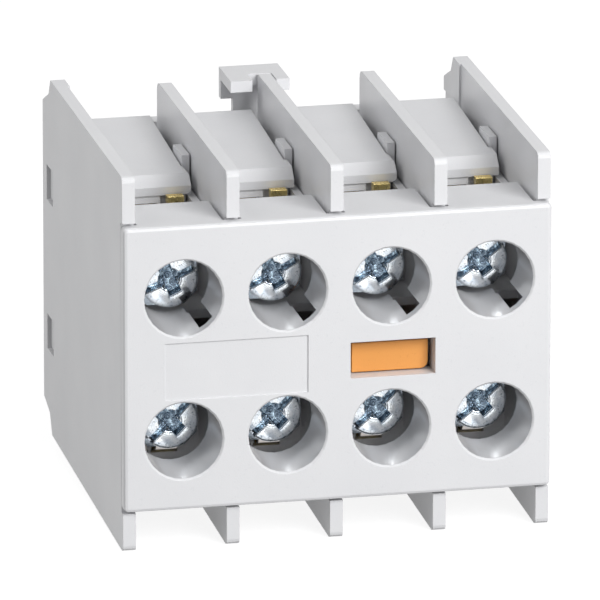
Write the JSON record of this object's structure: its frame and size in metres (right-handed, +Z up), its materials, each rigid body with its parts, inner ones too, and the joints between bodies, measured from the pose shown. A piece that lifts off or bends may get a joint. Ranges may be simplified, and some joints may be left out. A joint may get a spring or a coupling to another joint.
{
  "type": "auxiliary contact block",
  "caption": "Add-on contact block for a small contactor: light grey housing with barriers, screw wells in two rows, orange position flag, label field and rear latch.",
  "frame": {"origin": "middle of the bounding box in width and depth, at the feet of the barriers", "axes": "+X to the right seen from the front, +Y from the front face to the contactor, +Z up"},
  "size_m": [0.044, 0.0416, 0.0392],
  "materials": {
    "housing": "light grey moulding, finely textured",
    "carrier": "orange moulding",
    "contact": "stamped brass",
    "terminal": "blue zinc plated",
    "spring": "spring wire"
  },
  "bodies": {
    "block": {"main_housing": "housing", "front_cover": "housing", "rear_base": "housing", "strip_upper_1": "contact", "strip_upper_2": "contact", "strip_upper_3": "contact", "strip_upper_4": "contact", "strip_lower_1": "contact", "strip_lower_2": "contact", "strip_lower_3": "contact", "strip_lower_4": "contact", "return_spring_left": "spring", "return_spring_right": "spring"},
    "carrier": {"contact_carrier": "carrier", "contact_spring_1": "spring", "contact_spring_2": "spring", "contact_spring_3": "spring", "contact_spring_4": "spring"},
    "moving_contact_1": {"bridge_1": "contact"},
    "moving_contact_2": {"bridge_2": "contact"},
    "moving_contact_3": {"bridge_3": "contact"},
    "moving_contact_4": {"bridge_4": "contact"},
    "clamp_upper_1": {"washer_upper_1": "terminal"},
    "clamp_upper_2": {"washer_upper_2": "terminal"},
    "clamp_upper_3": {"washer_upper_3": "terminal"},
    "clamp_upper_4": {"washer_upper_4": "terminal"},
    "clamp_lower_1": {"washer_lower_1": "terminal"},
    "clamp_lower_2": {"washer_lower_2": "terminal"},
    "clamp_lower_3": {"washer_lower_3": "terminal"},
    "clamp_lower_4": {"washer_lower_4": "terminal"},
    "turning_screw_upper_1": {"screw_upper_1": "terminal"},
    "turning_screw_upper_2": {"screw_upper_2": "terminal"},
    "turning_screw_upper_3": {"screw_upper_3": "terminal"},
    "turning_screw_upper_4": {"screw_upper_4": "terminal"},
    "turning_screw_lower_1": {"screw_lower_1": "terminal"},
    "turning_screw_lower_2": {"screw_lower_2": "terminal"},
    "turning_screw_lower_3": {"screw_lower_3": "terminal"},
    "turning_screw_lower_4": {"screw_lower_4": "terminal"}
  },
  "joints": [
    {"name": "carrier_slide", "type": "slide", "parent": "block", "child": "carrier", "axis": [0, 1, 0], "range_m": [0, 0.0041], "stiffness_N_per_m": 250, "springref_m": -0.004, "deforming": ["return_spring_left", "return_spring_right"]},
    {"name": "bridge_1_slide", "type": "slide", "parent": "carrier", "child": "moving_contact_1", "axis": [0, -1, 0], "range_m": [0, 0.00121], "deforming": ["contact_spring_1"]},
    {"name": "bridge_2_slide", "type": "slide", "parent": "carrier", "child": "moving_contact_2", "axis": [0, -1, 0], "range_m": [0, 0.00121], "deforming": ["contact_spring_2"]},
    {"name": "bridge_3_slide", "type": "slide", "parent": "carrier", "child": "moving_contact_3", "axis": [0, -1, 0], "range_m": [0, 0.00121], "deforming": ["contact_spring_3"]},
    {"name": "bridge_4_slide", "type": "slide", "parent": "carrier", "child": "moving_contact_4", "axis": [0, -1, 0], "range_m": [0, 0.00121], "deforming": ["contact_spring_4"]},
    {"name": "clamp_upper_1_slide", "type": "slide", "parent": "block", "child": "clamp_upper_1", "axis": [0, -1, 0], "range_m": [-0.00249, 0.00149]},
    {"name": "clamp_upper_2_slide", "type": "slide", "parent": "block", "child": "clamp_upper_2", "axis": [0, -1, 0], "range_m": [-0.00249, 0.00149]},
    {"name": "clamp_upper_3_slide", "type": "slide", "parent": "block", "child": "clamp_upper_3", "axis": [0, -1, 0], "range_m": [-0.00249, 0.00149]},
    {"name": "clamp_upper_4_slide", "type": "slide", "parent": "block", "child": "clamp_upper_4", "axis": [0, -1, 0], "range_m": [-0.00249, 0.00149]},
    {"name": "clamp_lower_1_slide", "type": "slide", "parent": "block", "child": "clamp_lower_1", "axis": [0, -1, 0], "range_m": [-0.00249, 0.00149]},
    {"name": "clamp_lower_2_slide", "type": "slide", "parent": "block", "child": "clamp_lower_2", "axis": [0, -1, 0], "range_m": [-0.00249, 0.00149]},
    {"name": "clamp_lower_3_slide", "type": "slide", "parent": "block", "child": "clamp_lower_3", "axis": [0, -1, 0], "range_m": [-0.00249, 0.00149]},
    {"name": "clamp_lower_4_slide", "type": "slide", "parent": "block", "child": "clamp_lower_4", "axis": [0, -1, 0], "range_m": [-0.00249, 0.00149]},
    {"name": "screw_upper_1_turn", "type": "hinge", "parent": "clamp_upper_1", "child": "turning_screw_upper_1", "pos_m": [-0.01588, -0.014, 0.02649], "axis": [0, -1, 0], "range_deg": [-1800, 1080]},
    {"name": "screw_upper_2_turn", "type": "hinge", "parent": "clamp_upper_2", "child": "turning_screw_upper_2", "pos_m": [-0.00521, -0.014, 0.02649], "axis": [0, -1, 0], "range_deg": [-1800, 1080]},
    {"name": "screw_upper_3_turn", "type": "hinge", "parent": "clamp_upper_3", "child": "turning_screw_upper_3", "pos_m": [0.00545, -0.014, 0.02649], "axis": [0, -1, 0], "range_deg": [-1800, 1080]},
    {"name": "screw_upper_4_turn", "type": "hinge", "parent": "clamp_upper_4", "child": "turning_screw_upper_4", "pos_m": [0.01612, -0.014, 0.02649], "axis": [0, -1, 0], "range_deg": [-1800, 1080]},
    {"name": "screw_lower_1_turn", "type": "hinge", "parent": "clamp_lower_1", "child": "turning_screw_lower_1", "pos_m": [-0.01588, -0.014, 0.01155], "axis": [0, -1, 0], "range_deg": [-1800, 1080]},
    {"name": "screw_lower_2_turn", "type": "hinge", "parent": "clamp_lower_2", "child": "turning_screw_lower_2", "pos_m": [-0.00521, -0.014, 0.01155], "axis": [0, -1, 0], "range_deg": [-1800, 1080]},
    {"name": "screw_lower_3_turn", "type": "hinge", "parent": "clamp_lower_3", "child": "turning_screw_lower_3", "pos_m": [0.00545, -0.014, 0.01155], "axis": [0, -1, 0], "range_deg": [-1800, 1080]},
    {"name": "screw_lower_4_turn", "type": "hinge", "parent": "clamp_lower_4", "child": "turning_screw_lower_4", "pos_m": [0.01612, -0.014, 0.01155], "axis": [0, -1, 0], "range_deg": [-1800, 1080]}
  ],
  "couplings": [
    {"joint": "bridge_1_slide", "follows": "carrier_slide", "ratio": 0.29268},
    {"joint": "bridge_2_slide", "follows": "carrier_slide", "ratio": 0.29268},
    {"joint": "bridge_3_slide", "follows": "carrier_slide", "ratio": 0.29268},
    {"joint": "bridge_4_slide", "follows": "carrier_slide", "ratio": 0.29268},
    {"joint": "screw_upper_1_turn", "follows": "clamp_upper_1_slide", "rad_per_m": 12566},
    {"joint": "screw_upper_2_turn", "follows": "clamp_upper_2_slide", "rad_per_m": 12566},
    {"joint": "screw_upper_3_turn", "follows": "clamp_upper_3_slide", "rad_per_m": 12566},
    {"joint": "screw_upper_4_turn", "follows": "clamp_upper_4_slide", "rad_per_m": 12566},
    {"joint": "screw_lower_1_turn", "follows": "clamp_lower_1_slide", "rad_per_m": 12566},
    {"joint": "screw_lower_2_turn", "follows": "clamp_lower_2_slide", "rad_per_m": 12566},
    {"joint": "screw_lower_3_turn", "follows": "clamp_lower_3_slide", "rad_per_m": 12566},
    {"joint": "screw_lower_4_turn", "follows": "clamp_lower_4_slide", "rad_per_m": 12566}
  ]
}
